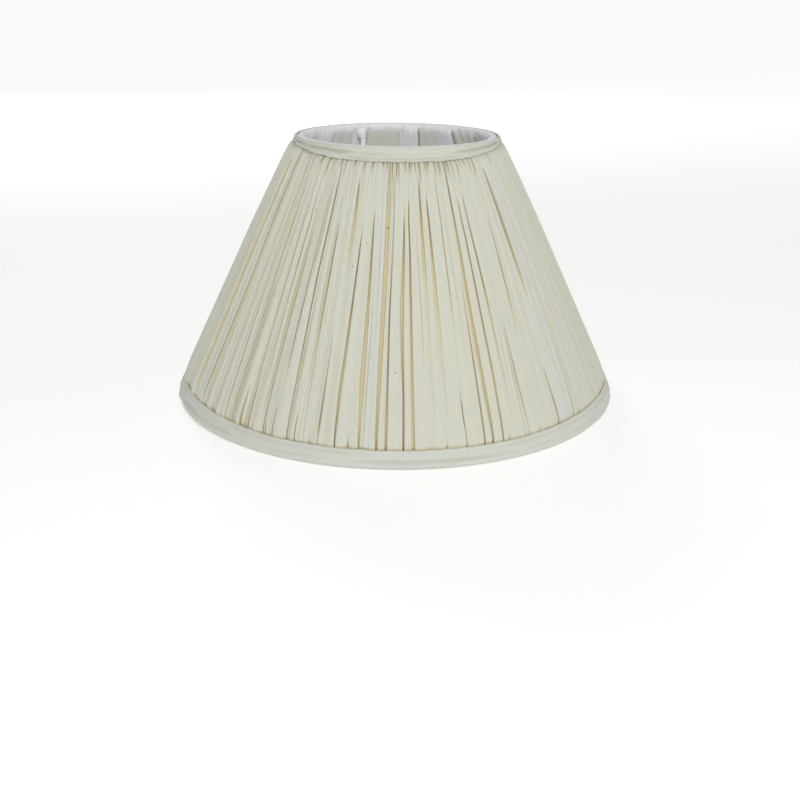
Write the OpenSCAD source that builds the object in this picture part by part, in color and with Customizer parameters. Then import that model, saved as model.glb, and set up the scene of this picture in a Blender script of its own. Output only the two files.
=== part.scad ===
// Gathered empire lamp shade on an enamelled wire frame.
// A pleated cover is sewn over two bound rings, a lining is stretched inside the
// struts and turned over the top ring, and bias bindings finish both rims.
// Origin: centre of the plane the shade stands on. +Z runs up its axis.

/* [Frame] */
// outer diameter of the bottom ring
base_ring_d = 350; // [250:1:450]
// outer diameter of the top ring
top_ring_d = 154; // [110:1:240]
// height of the bottom ring's wire centre above the standing plane
base_ring_z = 3.8; // [3:0.1:6]
// height of the top ring's wire centre above the standing plane
top_ring_z = 205.3; // [140:0.1:280]
// wire diameter of both rings
ring_wire_d = 3; // [2:0.1:4]
// wire diameter of the struts
strut_wire_d = 2.5; // [2:0.1:4]

/* [Fitter] */
// wire diameter of the three arms
arm_wire_d = 4; // [3:0.1:5]
// turning of the first arm from +X about the axis
arm_turn = 114.5; // [0:0.5:120]
// distance of the arms' long runs from the axis, at their upper end
arm_reach = 70; // [50:1:72]
// drop from the top ring to the underside of the fitter ring
fitter_drop = 75; // [40:1:110]
// bore of the fitter ring, for a large lampholder
fitter_bore_d = 42; // [28:1:44]
// outer diameter of the fitter ring
fitter_od = 58; // [50:1:64]
// thickness of the pressed fitter ring
fitter_gauge = 1.2; // [0.8:0.1:2]
// height of the lips pressed up at the bore and the outer edge
fitter_lip = 4; // [2:0.5:6]

/* [Cloth] */
// thickness of the cotton tape bound round each ring
tape_t = 0.8; // [0.4:0.1:1.2]
// thickness of the gathered cover between the bindings
cover_t = 4.8; // [2:0.1:7]
// thickness of the cover where it is sewn to the top ring
cover_rim_t = 1; // [0.8:0.1:3]
// thickness of the cover where it is sewn to the bottom ring
cover_hem_t = 2.6; // [0.8:0.1:4]
// thickness of the lining
lining_t = 0.8; // [0.4:0.1:1.2]
// thickness of the folded bias bindings
binding_t = 1; // [0.8:0.1:2]
// height of the binding on the top rim
top_binding_h = 11; // [8:0.5:20]
// height of the binding on the bottom rim
base_binding_h = 14.5; // [10:0.5:24]
// width of the strip that neatens each slit in the lining
neatener_w = 14; // [8:1:24]
// length of that strip below the top ring
neatener_l = 11; // [8:1:30]

/* [Hidden] */
wire_r = ring_wire_d / 2;
strut_r = strut_wire_d / 2;
arm_r = arm_wire_d / 2;
tape_r = wire_r + tape_t;
base_r = base_ring_d / 2 - wire_r;
top_r = top_ring_d / 2 - wire_r;
rise = top_ring_z - base_ring_z;
strut_n = 8;
// puts each arm's root clear of the struts, with the first arm midway between two
strut_turn = arm_turn - 2.5 * 360 / strut_n;
// radial growth per unit of drop, and the radial size of a unit of thickness
lean = (base_r - top_r) / rise;
spread = sqrt(1 + lean * lean);
// gap kept between neighbouring layers of cloth
ease = 0.05;
turn_z = top_ring_z + tape_r + 2 * ease;
rim_z = turn_z + lining_t;
fitter_z = top_ring_z - fitter_drop;
$fn = 72;
wire_fn = 14;

// radius of the surface through both ring centres
function cone_r(z) = top_r + (top_ring_z - z) * lean;

// radial distance of a layer whose face is t outside that surface
function face(z, t) = cone_r(z) + t * spread;

cover_in = tape_r + ease;
// the gathers swell out from under each binding: [height, thickness] up the cover
cover_swell = [
    [base_ring_z, cover_hem_t],
    [base_binding_h, cover_t * 0.85],
    [base_binding_h + 6, cover_t],
    [top_ring_z - 55, cover_t],
    [rim_z - top_binding_h - 14, cover_t * 0.76],
    [rim_z - top_binding_h, cover_t * 0.4],
    [top_ring_z, cover_rim_t]
];

// radius of the cover's outer side, and of a layer t outside it
function cover_face(z, t = 0) = face(z, cover_in + lookup(z, cover_swell) + t);
lining_out = tape_r + ease;
lining_in = lining_out + lining_t;

// the two bends of an arm and its two ends, as [distance from the axis, height]
arm_path = [
    [top_r - 0.8, top_ring_z],
    [arm_reach, top_ring_z - 4.5],
    [arm_reach - 4, fitter_z + 10],
    [fitter_od / 2 - 2, fitter_z + fitter_lip / 2]
];

// a closed hoop of round section
module hoop(centre_r, z, section_r) {
    translate([0, 0, z])
        rotate_extrude()
            translate([centre_r, 0])
                circle(r = section_r, $fn = wire_fn);
}

module base_hoop(section_r) {
    hoop(base_r, base_ring_z, section_r);
}

module top_hoop(section_r) {
    hoop(top_r, top_ring_z, section_r);
}

// a straight wire from ring centre to ring centre, the i-th round the frame
module strut_wire(i) {
    rotate([0, 0, strut_turn + i * 360 / strut_n])
        translate([base_r, 0, base_ring_z])
            rotate([0, -atan2(base_r - top_r, rise), 0])
                cylinder(h = rise * spread, r = strut_r, $fn = 20);
}

module strut(i) {
    color("ivory")
        difference() {
            strut_wire(i);
            base_hoop(wire_r);
            top_hoop(wire_r);
        }
}

function step(a, b) = (b - a) / norm(b - a);
function side_of(d) = [-d[1], d[0]];

// straight run of wire in the XY plane
module run(a, b, r) {
    translate([a[0], a[1], 0])
        rotate([0, 0, atan2(b[1] - a[1], b[0] - a[0])])
            rotate([0, 90, 0])
                cylinder(h = norm(b - a), r = r, $fn = 20);
}

// bend of wire in the XY plane, at the corner p between a and b
module bend(a, p, b, bend_r, r) {
    d1 = step(a, p);
    d2 = step(p, b);
    turn = asin(d1[0] * d2[1] - d1[1] * d2[0]);
    hand = sign(turn);
    reach = bend_r * tan(abs(turn) / 2);
    centre = p - d1 * reach + side_of(d1) * hand * bend_r;
    from = -side_of(hand > 0 ? d1 : -d2);
    translate([centre[0], centre[1], 0])
        rotate([0, 0, atan2(from[1], from[0])])
            rotate_extrude(angle = abs(turn))
                translate([bend_r, 0])
                    circle(r = r, $fn = 20);
}

function corner_reach(a, p, b, bend_r) =
    bend_r * tan(abs(asin(cross(step(a, p), step(p, b)))) / 2);

// an arm's whole wire: down from the ring, along the lining, in to the fitter;
// the wire swells by a hair at each bend and the straight runs end inside it
module arm_wire(i, grow = 0) {
    r = arm_r + grow;
    swell = 0.06;
    tuck = 0.4;
    upper_bend = 9;
    lower_bend = 13;
    p = arm_path;
    along = [step(p[0], p[1]), step(p[1], p[2]), step(p[2], p[3])];
    cut_1 = corner_reach(p[0], p[1], p[2], upper_bend) - tuck;
    cut_2 = corner_reach(p[1], p[2], p[3], lower_bend) - tuck;
    rotate([0, 0, arm_turn + 120 * i])
        rotate([90, 0, 0]) {
            run(p[0], p[1] - along[0] * cut_1, r);
            bend(p[0], p[1], p[2], upper_bend, r + swell);
            run(p[1] + along[1] * cut_1, p[2] - along[1] * cut_2, r);
            bend(p[1], p[2], p[3], lower_bend, r + swell);
            run(p[2] + along[2] * cut_2, p[3], r);
        }
}

module fitter_arm(i) {
    color("white")
        difference() {
            arm_wire(i);
            top_hoop(wire_r);
            translate([0, 0, fitter_z - 10])
                cylinder(h = 30, r = fitter_od / 2);
        }
}

module bottom_ring() {
    color("ivory") base_hoop(wire_r);
}

module top_ring() {
    color("ivory") top_hoop(wire_r);
}

// pressed ring with a flat underside and a lip at each edge
module fitter_ring() {
    bore = fitter_bore_d / 2;
    rim = fitter_od / 2;
    color("white")
        translate([0, 0, fitter_z])
            rotate_extrude()
                polygon([
                    [bore, 0],
                    [rim, 0],
                    [rim, fitter_lip],
                    [rim - fitter_gauge, fitter_lip],
                    [rim - fitter_gauge, fitter_gauge],
                    [bore + fitter_gauge, fitter_gauge],
                    [bore + fitter_gauge, fitter_lip],
                    [bore, fitter_lip]
                ]);
}

module all_struts() {
    for (i = [0 : strut_n - 1])
        strut_wire(i);
}

module bottom_ring_tape() {
    color("wheat")
        difference() {
            base_hoop(tape_r);
            base_hoop(wire_r);
            all_struts();
        }
}

module top_ring_tape() {
    color("wheat")
        difference() {
            top_hoop(tape_r);
            top_hoop(wire_r);
            all_struts();
            for (i = [0 : 2])
                arm_wire(i);
        }
}

// lining: inside the struts, with its upper edge turned out over the top ring
module lining() {
    low = base_ring_z - tape_r + 0.4;
    color("aliceblue")
        difference() {
            rotate_extrude()
                polygon([
                    [face(low, -lining_in), low],
                    [face(low, -lining_out), low],
                    [face(turn_z, -lining_out), turn_z],
                    [cover_face(turn_z), turn_z],
                    [cover_face(turn_z), rim_z],
                    [face(rim_z, -lining_in), rim_z]
                ]);
            for (i = [0 : 2])
                arm_wire(i, ease);
        }
}

module cover() {
    high = top_ring_z + tape_r - 0.1;
    color("cornsilk")
        rotate_extrude()
            polygon([
                [face(base_ring_z, cover_in), base_ring_z],
                for (p = cover_swell) [cover_face(p[0]), p[0]],
                [cover_face(high), high],
                [face(high, cover_in), high]
            ]);
}

// binding folded under the bottom ring: the shade stands on its lower edge
module bottom_trim() {
    skin = binding_t * spread;
    edge = cover_face(base_ring_z, ease);
    upper = cover_face(base_binding_h, ease);
    color("linen")
        rotate_extrude()
            polygon([
                [base_r - 1.5, 0],
                [base_r + 2, 0],
                [edge - 0.3, 0.9],
                [edge + skin, base_ring_z - 1],
                [edge + skin, base_ring_z],
                [upper + skin, base_binding_h],
                [upper, base_binding_h],
                [edge, base_ring_z],
                [edge, base_ring_z - 0.8],
                [edge - 1.3, base_ring_z - 1.9],
                [base_r + 1.4, 1],
                [base_r - 1.5, 1]
            ]);
}

module top_trim() {
    skin = binding_t * spread;
    low = rim_z - top_binding_h;
    rim = cover_face(rim_z, ease);
    color("linen")
        rotate_extrude()
            polygon([
                [cover_face(low, ease), low],
                [cover_face(low, ease) + skin, low],
                [cover_face(top_ring_z, ease) + skin, top_ring_z],
                [rim + skin, rim_z],
                [rim, rim_z],
                [cover_face(top_ring_z, ease), top_ring_z]
            ]);
}

// strip sewn over the slit where an arm passes through the lining
module neatener(i) {
    inner = lining_in + ease;
    high = top_ring_z + 1.5;
    low = high - neatener_l;
    sweep = neatener_w / top_r * 180 / PI;
    color("gainsboro")
        difference() {
            rotate([0, 0, arm_turn + 120 * i - sweep / 2])
                rotate_extrude(angle = sweep)
                    polygon([
                        [face(low, -inner - 0.8), low],
                        [face(low, -inner), low],
                        [face(high, -inner), high],
                        [face(high, -inner - 0.8), high]
                    ]);
            arm_wire(i, ease);
        }
}

bottom_ring();
top_ring();
strut(0);  // strut_1
strut(1);  // strut_2
strut(2);  // strut_3
strut(3);  // strut_4
strut(4);  // strut_5
strut(5);  // strut_6
strut(6);  // strut_7
strut(7);  // strut_8
fitter_arm(0);  // fitter_arm_1
fitter_arm(1);  // fitter_arm_2
fitter_arm(2);  // fitter_arm_3
fitter_ring();
bottom_ring_tape();
top_ring_tape();
lining();
cover();
bottom_trim();
top_trim();
neatener(0);  // neatener_1
neatener(1);  // neatener_2
neatener(2);  // neatener_3
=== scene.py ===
"""Looks for a gathered empire lamp shade: calico cover, lining, bindings and tapes on a wire frame.

Everything is in metres in the CAD frame. Angles run round +Z from +X, and the camera looks
along +Y, so the side it faces is at -90 degrees.
"""

import math

import bpy
import numpy as np
from mathutils import Matrix, Vector


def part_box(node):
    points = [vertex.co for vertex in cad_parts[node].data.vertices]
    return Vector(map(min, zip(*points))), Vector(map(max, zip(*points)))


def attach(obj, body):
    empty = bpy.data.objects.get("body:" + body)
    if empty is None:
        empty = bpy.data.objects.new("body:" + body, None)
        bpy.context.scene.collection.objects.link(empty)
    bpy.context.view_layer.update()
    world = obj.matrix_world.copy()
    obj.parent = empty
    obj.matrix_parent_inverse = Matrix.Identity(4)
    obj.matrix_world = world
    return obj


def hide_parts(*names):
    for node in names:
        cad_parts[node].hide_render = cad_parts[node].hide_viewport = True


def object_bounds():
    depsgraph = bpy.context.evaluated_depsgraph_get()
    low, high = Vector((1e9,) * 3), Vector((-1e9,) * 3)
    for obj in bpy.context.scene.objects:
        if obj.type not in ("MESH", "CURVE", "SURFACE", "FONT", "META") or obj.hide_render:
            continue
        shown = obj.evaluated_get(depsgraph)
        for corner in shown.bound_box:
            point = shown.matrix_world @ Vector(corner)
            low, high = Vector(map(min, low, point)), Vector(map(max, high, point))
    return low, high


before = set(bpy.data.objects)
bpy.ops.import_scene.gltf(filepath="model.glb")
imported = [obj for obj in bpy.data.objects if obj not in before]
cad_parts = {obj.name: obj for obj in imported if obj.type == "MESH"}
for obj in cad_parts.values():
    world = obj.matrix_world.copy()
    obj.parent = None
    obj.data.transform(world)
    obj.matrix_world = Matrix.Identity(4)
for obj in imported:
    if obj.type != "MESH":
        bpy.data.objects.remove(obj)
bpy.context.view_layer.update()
BODY = "shade"
MM = 0.001

# ------------ camera

CAMERA_AT = (0.0, -0.8467, 0.3073)
CAMERA_PITCH = -20.84
CAMERA_YAW = 0.28
CAMERA_ROLL = 0.57
SENSOR = 36.0
FOCAL = 47.52
SIGHT = 60.0

camera_data = bpy.data.cameras.new("camera")
camera_data.sensor_width = SENSOR
camera_data.lens = FOCAL
camera_data.clip_end = SIGHT
camera = bpy.data.objects.new("camera", camera_data)
bpy.context.scene.collection.objects.link(camera)
camera.matrix_world = (
    Matrix.Translation(CAMERA_AT)
    @ Matrix.Rotation(math.radians(-CAMERA_YAW), 4, "Z")
    @ Matrix.Rotation(math.radians(90 + CAMERA_PITCH), 4, "X")
    @ Matrix.Rotation(math.radians(CAMERA_ROLL), 4, "Z")
)
bpy.context.scene.camera = camera

# ------------ sizes from the frame


def mid_z(node):
    low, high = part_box(node)
    return (low[2] + high[2]) / 2


def half_height(node):
    low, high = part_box(node)
    return (high[2] - low[2]) / 2


WIRE_R = half_height("top_ring")
TAPE_R = half_height("top_ring_tape")
TOP_Z, BASE_Z = mid_z("top_ring"), mid_z("bottom_ring")
TOP_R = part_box("top_ring")[1][0] - WIRE_R
BASE_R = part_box("bottom_ring")[1][0] - WIRE_R
RIM_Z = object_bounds()[1][2]
TOP_TRIM_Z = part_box("top_trim")[0][2]
BASE_TRIM_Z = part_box("bottom_trim")[1][2]
LEAN = (BASE_R - TOP_R) / (TOP_Z - BASE_Z)
SPREAD = math.hypot(1, LEAN)


def cone_r(z):
    """Radius of the cone through both ring centres."""
    return TOP_R + (TOP_Z - z) * LEAN


def smooth(a, b, x):
    t = np.clip((x - a) / (b - a), 0.0, 1.0)
    return t * t * (3 - 2 * t)


def bell(x, at, width):
    """1 at x = at, and almost nothing two widths away."""
    return np.exp(-(((x - at) / width) ** 2))


def between(points, x):
    """The height at x of the line through a list of (x, height) points."""
    return np.interp(x, *zip(*points))


def ring_noise(rng, theta, waves, size, falloff=1.0):
    """A smooth closed random curve round the axis, from a few whole-number waves."""
    out = np.zeros_like(theta)
    for n in waves:
        out += rng.normal(0, 1) * np.cos(n * theta + rng.uniform(0, 2 * math.pi)) / n**falloff
    scale = math.sqrt(sum(n ** (-2 * falloff) for n in waves) / 2)
    return out * size / scale


# ------------ mesh helpers


def add_mesh(name, points, faces, material):
    mesh = bpy.data.meshes.new(name)
    mesh.from_pydata([tuple(p) for p in points], [], faces)
    mesh.update()
    mesh.materials.append(material)
    mesh.polygons.foreach_set("use_smooth", [True] * len(mesh.polygons))
    obj = bpy.data.objects.new(name, mesh)
    bpy.context.scene.collection.objects.link(obj)
    return obj


def set_uv(mesh, corners):
    layer = mesh.uv_layers.new(name="cloth")
    layer.data.foreach_set("uv", corners.reshape(-1).astype(np.float32))


def set_paint(mesh, paint):
    """paint holds (fold shade, tone, painted shade) at each point; the first and last are painted shade."""
    colour = mesh.color_attributes.new(name="paint", type="FLOAT_COLOR", domain="POINT")
    rgba = np.ones((len(paint), 4), np.float32)
    rgba[:, :3] = paint
    colour.data.foreach_set("color", rgba.reshape(-1))


def set_material(obj, material):
    obj.data.materials.clear()
    obj.data.materials.append(material)


def stand_for(piece, node):
    """The piece rides on the shade's one body, in the place of a CAD node."""
    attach(piece, BODY)
    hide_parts(node)


def grid_normals(grid, wrap):
    """Unit normals of a grid of points [row, column, xyz]; wrap says the columns close."""
    if wrap:
        du = np.roll(grid, -1, axis=1) - np.roll(grid, 1, axis=1)
    else:
        du = np.gradient(grid, axis=1)
    dv = np.gradient(grid, axis=0)
    n = np.cross(du, dv)
    return n / np.maximum(np.linalg.norm(n, axis=2, keepdims=True), 1e-12)


def cloth_mesh(name, outer, thickness, material, uv, paint, wrap=True):
    """A closed thin cloth: an outer face from a grid of points, and an inner one under it.

    uv is in metres along the cloth, and paint holds (fold shade, tone, painted shade) at each point.
    """
    rows, cols, _ = outer.shape
    inner = outer - grid_normals(outer, wrap) * thickness
    points = np.concatenate([outer.reshape(-1, 3), inner.reshape(-1, 3)])
    half = rows * cols
    r, c = np.meshgrid(np.arange(rows - 1), np.arange(cols if wrap else cols - 1), indexing="ij")
    c2 = (c + 1) % cols
    a, b = r * cols + c, r * cols + c2
    d, e = (r + 1) * cols + c, (r + 1) * cols + c2
    quads = np.stack([a, b, e, d], -1).reshape(-1, 4)
    shells = [quads, quads[:, ::-1] + half]
    edge = np.arange(cols if wrap else cols - 1)
    nxt = (edge + 1) % cols
    last = (rows - 1) * cols
    shells.append(np.stack([edge, edge + half, nxt + half, nxt], -1))
    shells.append(np.stack([last + edge, last + nxt, last + nxt + half, last + edge + half], -1))
    if not wrap:
        side = np.arange(rows - 1) * cols
        shells.append(np.stack([side, side + cols, side + cols + half, side + half], -1))
        side = side + cols - 1
        shells.append(np.stack([side, side + half, side + cols + half, side + cols], -1))
    faces = np.concatenate(shells)
    obj = add_mesh(name, points, faces.tolist(), material)

    # corner coordinates, unwrapped across the closing column so the weave doesn't jump
    flat_uv = np.concatenate([uv.reshape(-1, 2)] * 2)
    loops = faces.reshape(-1)
    corner_uv = flat_uv[loops].reshape(-1, 4, 2)
    if wrap:
        column = (loops % half % cols).reshape(-1, 4)
        closing = (column.max(1) == cols - 1) & (column.min(1) == 0)
        span = uv[:, -1, 0] + (uv[:, -1, 0] - uv[:, 0, 0]) / (cols - 1)
        row = (loops % half // cols).reshape(-1, 4)
        lift = closing[:, None] & (column == 0)
        corner_uv[..., 0] += np.where(lift, span[row], 0.0)
    set_uv(obj.data, corner_uv)
    set_paint(obj.data, np.concatenate([paint.reshape(-1, 3)] * 2))
    return obj


def round_grid(radius, z, theta):
    """Points on circles: radius, z and theta broadcast to one grid."""
    radius, z, theta = np.broadcast_arrays(radius, z, theta)
    return np.stack([radius * np.cos(theta), radius * np.sin(theta), z], -1)


def along_cloth(grid):
    """uv in metres: across is the mean arc length of the rows, up is the height on the slope."""
    step = np.linalg.norm(np.diff(grid, axis=1), axis=2)
    across = np.concatenate([np.zeros((len(grid), 1)), np.cumsum(step, axis=1)], axis=1)
    across = np.broadcast_to(across.mean(0), across.shape)
    rise = np.linalg.norm(np.diff(grid, axis=0), axis=2).mean(1)
    up = np.concatenate([[0], np.cumsum(rise)])
    return np.stack([across, np.broadcast_to(up[:, None], across.shape)], -1)


# ------------ materials


class Nodes:
    """Short calls for building a material's node tree."""

    def __init__(self, name, roughness, sheen=0.0, coat=0.0):
        self.material = bpy.data.materials.new(name)
        self.material.use_nodes = True
        self.tree = self.material.node_tree
        self.shader = self.tree.nodes["Principled BSDF"]
        for key, value in (("Roughness", roughness), ("Sheen Weight", sheen), ("Coat Weight", coat)):
            self.shader.inputs[key].default_value = value

    def new(self, kind, **settings):
        node = self.tree.nodes.new(kind)
        for key, value in settings.items():
            setattr(node, key, value)
        return node

    def link(self, source, target):
        self.tree.links.new(source, target)

    def feed(self, target, value):
        if isinstance(value, (int, float)):
            target.default_value = value
        elif isinstance(value, tuple):
            target.default_value = (*value, 1.0) if len(value) == 3 else value
        else:
            self.link(value, target)

    def math(self, operation, a, b=0.0):
        node = self.new("ShaderNodeMath", operation=operation)
        for target, value in zip(node.inputs, (a, b)):
            self.feed(target, value)
        return node.outputs[0]

    def times(self, a, b):
        return self.math("MULTIPLY", a, b)

    def plus(self, a, b):
        return self.math("ADD", a, b)

    def mix(self, factor, a, b):
        node = self.new("ShaderNodeMix", data_type="RGBA", blend_type="MIX")
        self.feed(node.inputs["Factor"], factor)
        self.feed(node.inputs["A"], a)
        self.feed(node.inputs["B"], b)
        return node.outputs["Result"]

    def over(self, base, colour, where, amount):
        """colour laid over base where the mask says, to at most the given amount."""
        return self.mix(self.times(where, amount), base, colour)

    def scaled(self, vector, factors):
        node = self.new("ShaderNodeVectorMath", operation="MULTIPLY")
        self.link(vector, node.inputs[0])
        node.inputs[1].default_value = factors
        return node.outputs[0]

    def noise(self, vector, scale, detail=2.0, roughness=0.5):
        node = self.new("ShaderNodeTexNoise")
        self.link(vector, node.inputs["Vector"])
        node.inputs["Scale"].default_value = scale
        node.inputs["Detail"].default_value = detail
        node.inputs["Roughness"].default_value = roughness
        return node.outputs["Fac"]

    def steps(self, value, low, high):
        """0 below low, 1 above high."""
        node = self.new("ShaderNodeMapRange")
        node.interpolation_type = "SMOOTHSTEP"
        self.link(value, node.inputs["Value"])
        node.inputs["From Min"].default_value = low
        node.inputs["From Max"].default_value = high
        return node.outputs["Result"]

    def uv(self):
        return self.new("ShaderNodeUVMap", uv_map="cloth").outputs["UV"]

    def position(self):
        return self.new("ShaderNodeTexCoord").outputs["Object"]

    def paint(self):
        """The mesh's (fold shade, tone, painted shade) as three numbers: painted shade in folds, a tone, and
        more painted shade.
        """
        attribute = self.new("ShaderNodeAttribute", attribute_name="paint")
        split = self.new("ShaderNodeSeparateColor")
        self.link(attribute.outputs["Color"], split.inputs["Color"])
        return split.outputs["Red"], split.outputs["Green"], split.outputs["Blue"]

    def bump(self, height, distance, strength, under=None):
        """A bump on the shader's normal, over an earlier one if there is one."""
        node = self.new("ShaderNodeBump")
        node.inputs["Strength"].default_value = strength
        node.inputs["Distance"].default_value = distance
        self.link(height, node.inputs["Height"])
        if under is not None:
            self.link(under, node.inputs["Normal"])
        self.link(node.outputs["Normal"], self.shader.inputs["Normal"])
        return node.outputs["Normal"]

    def colour(self, value):
        self.feed(self.shader.inputs["Base Color"], value)


def weave_height(n, uv, thread):
    """Plain weave: over and under alternate along both threads. Returns a 0..1 height."""
    split = n.new("ShaderNodeSeparateXYZ")
    n.link(uv, split.inputs[0])
    warp = n.math("SINE", n.times(split.outputs[0], math.pi / thread))
    weft = n.math("SINE", n.times(split.outputs[1], math.pi / thread))
    ribs = n.plus(n.math("ABSOLUTE", warp), n.math("ABSOLUTE", weft))
    return n.plus(n.times(n.times(warp, weft), 0.25), n.times(ribs, 0.35))


PALE_GRAIN, DARK_GRAIN = (0.82, 0.81, 0.75), (0.36, 0.34, 0.27)
PALE_SLUB, DARK_SLUB = (0.86, 0.85, 0.80), (0.44, 0.41, 0.32)
IN_SHADE = (0.20, 0.15, 0.08)
DARK_FLECK, FAINT_FLECK = (0.16, 0.12, 0.06), (0.40, 0.32, 0.18)


def flecks(n, uv, base, stretch, chance, least, most, colour, depth):
    """Seed flecks in some of the cells of a grid over the cloth, each a little stretched."""
    cells = n.new("ShaderNodeTexVoronoi")
    cells.inputs["Scale"].default_value = 1.0
    n.link(n.scaled(uv, stretch), cells.inputs["Vector"])
    lottery = n.new("ShaderNodeSeparateColor")
    n.link(cells.outputs["Color"], lottery.inputs["Color"])
    size = n.plus(n.times(lottery.outputs["Green"], most), least)
    spot = n.math("LESS_THAN", cells.outputs["Distance"], size)
    chosen = n.math("LESS_THAN", lottery.outputs["Red"], chance)
    return n.over(base, colour, n.times(spot, chosen), depth)


def calico(name, cool, warm, gold, pale, thread, fleck_amount, weave_depth, crinkle_depth):
    """Unbleached plain cotton: two near tones, with slubs and seed flecks; golden painted shade in its folds
    and brown painted shade where the paint says.
    """
    n = Nodes(name, roughness=0.90, sheen=0.10)
    uv = n.uv()
    fold, tone, painted_shade = n.paint()
    base = n.mix(tone, cool, warm)
    # broad and fine unevenness of the yarn
    base = n.over(base, warm, n.steps(n.noise(uv, 40.0, 3.0), 0.35, 0.7), 0.18)
    grain = n.noise(uv, 1250.0, 2.5, 0.6)
    base = n.over(base, PALE_GRAIN, n.steps(grain, 0.52, 0.80), 0.34)
    base = n.over(base, DARK_GRAIN, n.steps(grain, 0.48, 0.22), 0.38)
    slub_up = n.noise(n.scaled(uv, (1500.0, 60.0, 1.0)), 1.0, 2.0)
    slub_across = n.noise(n.scaled(uv, (50.0, 1400.0, 1.0)), 1.0, 2.0)
    light = n.plus(n.steps(slub_up, 0.56, 0.72), n.steps(slub_across, 0.56, 0.72))
    base = n.over(base, PALE_SLUB, light, 0.09)
    dark = n.plus(n.steps(slub_up, 0.44, 0.28), n.steps(slub_across, 0.44, 0.28))
    base = n.over(base, DARK_SLUB, dark, 0.10)
    # painted shade in the folds: deep gold where a fold is narrow, pale gold where it is open, for the light
    # that bounces and dims inside them
    base = n.mix(fold, base, n.mix(tone, gold, pale))
    # painted shade: brown where the paint's third number says
    base = n.over(base, IN_SHADE, painted_shade, 0.6)
    # a few dark flecks, and more faint ones
    base = flecks(n, uv, base, (150.0, 105.0, 1.0), fleck_amount, 0.030, 0.060, DARK_FLECK, 0.75)
    base = flecks(n, uv, base, (260.0, 330.0, 1.0), fleck_amount * 1.2, 0.035, 0.075, FAINT_FLECK, 0.55)
    n.colour(base)
    # fine crinkles along the gathers, then the weave over them
    crinkle = n.noise(n.scaled(uv, (420.0, 16.0, 1.0)), 1.0, 3.0, 0.55)
    first = n.bump(crinkle, crinkle_depth, 0.7)
    n.bump(n.plus(weave_height(n, uv, thread), n.times(grain, 0.9)), weave_depth, 0.5, under=first)
    return n.material


def plain_cloth(name, colour, shade, thread, weave_depth):
    """A smooth even cotton for linings and tapes."""
    n = Nodes(name, roughness=0.82, sheen=0.1)
    uv = n.uv()
    fold, tone, painted_shade = n.paint()
    base = n.over(colour, shade, n.noise(uv, 30.0, 3.0), 0.35)
    yarn = n.noise(n.scaled(uv, (1800.0, 90.0, 1.0)), 1.0, 2.0)
    base = n.over(base, (1.0, 1.0, 1.0), n.steps(yarn, 0.55, 0.75), 0.08)
    base = n.over(base, shade, tone, 0.8)
    # painted shade: dark brown along fold lines, and a lighter brown where the paint's third number says
    base = n.over(base, (0.22, 0.17, 0.11), fold, 0.85)
    base = n.over(base, (0.35, 0.32, 0.26), painted_shade, 0.4)
    n.colour(base)
    n.bump(weave_height(n, uv, thread), weave_depth, 0.5)
    return n.material


def enamel(name, colour, worn, steel):
    """White stoved enamel on wire: a soft orange-peel gloss, thin and grey in a few places."""
    n = Nodes(name, roughness=0.28, coat=0.3)
    at = n.position()
    base = n.mix(n.steps(n.noise(at, 55.0, 3.0), 0.45, 0.75), colour, worn)
    base = n.over(base, steel, n.steps(n.noise(at, 260.0, 4.0, 0.6), 0.70, 0.74), 0.6)
    n.colour(base)
    n.bump(n.noise(at, 900.0, 2.0), 0.00006, 0.4)
    return n.material


COVER_CLOTH = calico(
    "cover_calico",
    cool=(0.556, 0.574, 0.527),
    warm=(0.570, 0.558, 0.436),
    gold=(0.455, 0.345, 0.140),
    pale=(0.565, 0.492, 0.305),
    thread=0.00042,
    fleck_amount=0.16,
    weave_depth=0.00020,
    crinkle_depth=0.00030,
)
TRIM_CLOTH = calico(
    "binding_calico",
    cool=(0.566, 0.584, 0.552),
    warm=(0.572, 0.578, 0.508),
    gold=(0.400, 0.390, 0.290),
    pale=(0.450, 0.440, 0.340),
    thread=0.00042,
    fleck_amount=0.07,
    weave_depth=0.00028,
    crinkle_depth=0.00008,
)
LINING_CLOTH = plain_cloth(
    "white_lining", (0.80, 0.82, 0.86), (0.62, 0.605, 0.535), thread=0.00030, weave_depth=0.00004
)
TAPE_CLOTH = plain_cloth(
    "cotton_tape", (0.78, 0.75, 0.66), (0.66, 0.62, 0.52), thread=0.00045, weave_depth=0.00010
)
FRAME_ENAMEL = enamel("frame_enamel", (0.80, 0.79, 0.75), (0.72, 0.70, 0.64), (0.35, 0.35, 0.35))
FITTER_ENAMEL = enamel("fitter_enamel", (0.84, 0.86, 0.88), (0.76, 0.77, 0.78), (0.40, 0.40, 0.41))

# ------------ edges of the bindings

# Rise of each binding's edge in mm, as (degrees away from the front, rise). The top binding is
# turned down further in front than at the sides.
TOP_EDGE_RISE = ((0, 0.3), (24, 0.6), (34, 1.1), (45, 2.2), (62, 4.3), (77, 5.3), (90, 5.4),
                 (120, 4.2), (150, 2.6), (180, 2.2))
BASE_EDGE_RISE = ((0, -0.5), (30, -0.3), (50, 1.2), (65, 2.0), (90, 1.0), (120, 0.4), (180, 0.0))
# Where the bottom binding's lap dips and rises, as (angle, half width in degrees, mm).
LAP_DIP = (192, 3.0, 2.4)
LAP_RISE = (177, 6.0, 3.0)
# How far the gathers stand off, in mm, as (mm from a binding's edge, mm).
FULL_BELOW_TOP = ((-8, 0.8), (0, 1.5), (1.2, 2.5), (4, 3.3), (14, 3.9), (60, 4.85))
FULL_ABOVE_BASE = ((-12, 2.0), (-3, 2.7), (0, 3.1), (1.5, 3.9), (5, 4.5), (12, 4.85))


def from_front(theta):
    """Degrees away from the side at -90, 0 to 180."""
    return np.abs((np.degrees(theta) + 90 + 180) % 360 - 180)


def top_edge(theta):
    """Lower edge of the top binding."""
    return TOP_TRIM_Z + between(TOP_EDGE_RISE, from_front(theta)) * MM


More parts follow.
